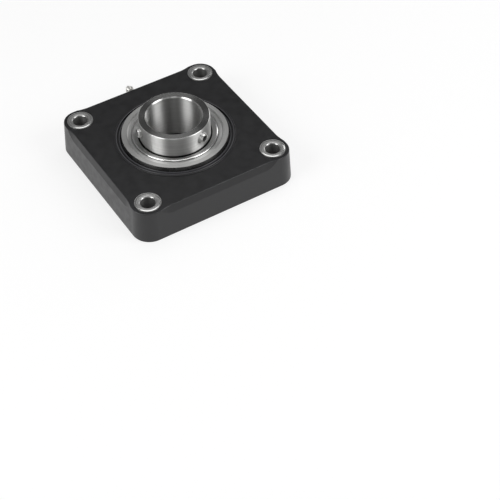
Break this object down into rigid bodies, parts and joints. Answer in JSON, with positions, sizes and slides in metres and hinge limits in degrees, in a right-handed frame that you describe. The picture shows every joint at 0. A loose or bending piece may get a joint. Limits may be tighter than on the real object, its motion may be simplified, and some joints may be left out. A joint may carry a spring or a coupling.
{
  "type": "square flange bearing unit",
  "caption": "Square flange bearing unit: a moulded four-bolt housing with a self-aligning ball bearing insert, locked to its shaft by set screws.",
  "frame": {"origin": "on the shaft axis, in the plane of the mounting face, at the centre of the bolt pattern", "axes": "+Z along the shaft axis, out of the face with the collar; +Y towards the grease fitting"},
  "size_m": [0.129, 0.1375, 0.044],
  "materials": {
    "housing_plastic": "moulded thermoplastic, fine satin texture",
    "sleeve_steel": "deep-drawn stainless steel, satin",
    "ring_steel": "ground bearing steel with fine turning lines",
    "ball_steel": "polished bearing steel",
    "cage_steel": "pressed sheet steel",
    "shield_steel": "bright pressed sheet steel",
    "seal_rubber": "black nitrile rubber",
    "screw_steel": "plated steel with a cut thread",
    "fitting_steel": "turned and plated steel"
  },
  "bodies": {
    "housing": {"housing": "housing_plastic", "bolt_sleeve_1": "sleeve_steel", "bolt_sleeve_2": "sleeve_steel", "bolt_sleeve_3": "sleeve_steel", "bolt_sleeve_4": "sleeve_steel", "grease_fitting": "fitting_steel", "check_spring": "fitting_steel"},
    "insert": {"outer_ring": "ring_steel", "front_shield": "shield_steel", "rear_shield": "shield_steel", "front_seal_lip": "seal_rubber", "rear_seal_lip": "seal_rubber"},
    "shaft_ring": {"inner_ring": "ring_steel", "front_flinger": "shield_steel", "rear_flinger": "shield_steel"},
    "screw_1": {"set_screw_1": "screw_steel"},
    "screw_2": {"set_screw_2": "screw_steel"},
    "cage": {"front_cage_half": "cage_steel", "rear_cage_half": "cage_steel", "cage_rivets": "cage_steel"},
    "fitting_check": {"check_ball": "ball_steel"},
    "ball_1": {"ball_1": "ball_steel"},
    "ball_2": {"ball_2": "ball_steel"},
    "ball_3": {"ball_3": "ball_steel"},
    "ball_4": {"ball_4": "ball_steel"},
    "ball_5": {"ball_5": "ball_steel"},
    "ball_6": {"ball_6": "ball_steel"},
    "ball_7": {"ball_7": "ball_steel"},
    "ball_8": {"ball_8": "ball_steel"},
    "ball_9": {"ball_9": "ball_steel"}
  },
  "joints": [
    {"name": "self_align", "type": "hinge", "parent": "housing", "child": "insert", "pos_m": [0, 0, 0.0188], "axis": [1, 0, 0], "range_deg": [-2, 2]},
    {"name": "shaft_spin", "type": "hinge", "parent": "insert", "child": "shaft_ring", "pos_m": [0, 0, 0.0188], "axis": [0, 0, 1], "continuous": true},
    {"name": "cage_spin", "type": "hinge", "parent": "insert", "child": "cage", "pos_m": [0, 0, 0.0188], "axis": [0, 0, 1], "continuous": true},
    {"name": "ball_1_roll", "type": "hinge", "parent": "cage", "child": "ball_1", "pos_m": [0.03, 0, 0.0188], "axis": [0, 0, 1], "continuous": true},
    {"name": "ball_2_roll", "type": "hinge", "parent": "cage", "child": "ball_2", "pos_m": [0.02298, 0.01928, 0.0188], "axis": [0, 0, 1], "continuous": true},
    {"name": "ball_3_roll", "type": "hinge", "parent": "cage", "child": "ball_3", "pos_m": [0.00521, 0.02954, 0.0188], "axis": [0, 0, 1], "continuous": true},
    {"name": "ball_4_roll", "type": "hinge", "parent": "cage", "child": "ball_4", "pos_m": [-0.015, 0.02598, 0.0188], "axis": [0, 0, 1], "continuous": true},
    {"name": "ball_5_roll", "type": "hinge", "parent": "cage", "child": "ball_5", "pos_m": [-0.02819, 0.01026, 0.0188], "axis": [0, 0, 1], "continuous": true},
    {"name": "ball_6_roll", "type": "hinge", "parent": "cage", "child": "ball_6", "pos_m": [-0.02819, -0.01026, 0.0188], "axis": [0, 0, 1], "continuous": true},
    {"name": "ball_7_roll", "type": "hinge", "parent": "cage", "child": "ball_7", "pos_m": [-0.015, -0.02598, 0.0188], "axis": [0, 0, 1], "continuous": true},
    {"name": "ball_8_roll", "type": "hinge", "parent": "cage", "child": "ball_8", "pos_m": [0.00521, -0.02954, 0.0188], "axis": [0, 0, 1], "continuous": true},
    {"name": "ball_9_roll", "type": "hinge", "parent": "cage", "child": "ball_9", "pos_m": [0.02298, -0.01928, 0.0188], "axis": [0, 0, 1], "continuous": true},
    {"name": "set_screw_1_travel", "type": "slide", "parent": "shaft_ring", "child": "screw_1", "axis": [0.342, -0.9397, 0], "range_m": [-0.0003, 0.003]},
    {"name": "set_screw_2_travel", "type": "slide", "parent": "shaft_ring", "child": "screw_2", "axis": [-0.9848, 0.1736, 0], "range_m": [-0.0003, 0.003]},
    {"name": "check_ball_push", "type": "slide", "parent": "housing", "child": "fitting_check", "axis": [0, -1, 0], "range_m": [0, 0.001], "stiffness_N_per_m": 150, "springref_m": -0.003, "deforming": ["check_spring"]}
  ],
  "couplings": [
    {"joint": "cage_spin", "follows": "shaft_spin", "ratio": 0.4},
    {"joint": "ball_1_roll", "follows": "shaft_spin", "ratio": -2.4},
    {"joint": "ball_2_roll", "follows": "shaft_spin", "ratio": -2.4},
    {"joint": "ball_3_roll", "follows": "shaft_spin", "ratio": -2.4},
    {"joint": "ball_4_roll", "follows": "shaft_spin", "ratio": -2.4},
    {"joint": "ball_5_roll", "follows": "shaft_spin", "ratio": -2.4},
    {"joint": "ball_6_roll", "follows": "shaft_spin", "ratio": -2.4},
    {"joint": "ball_7_roll", "follows": "shaft_spin", "ratio": -2.4},
    {"joint": "ball_8_roll", "follows": "shaft_spin", "ratio": -2.4},
    {"joint": "ball_9_roll", "follows": "shaft_spin", "ratio": -2.4}
  ]
}
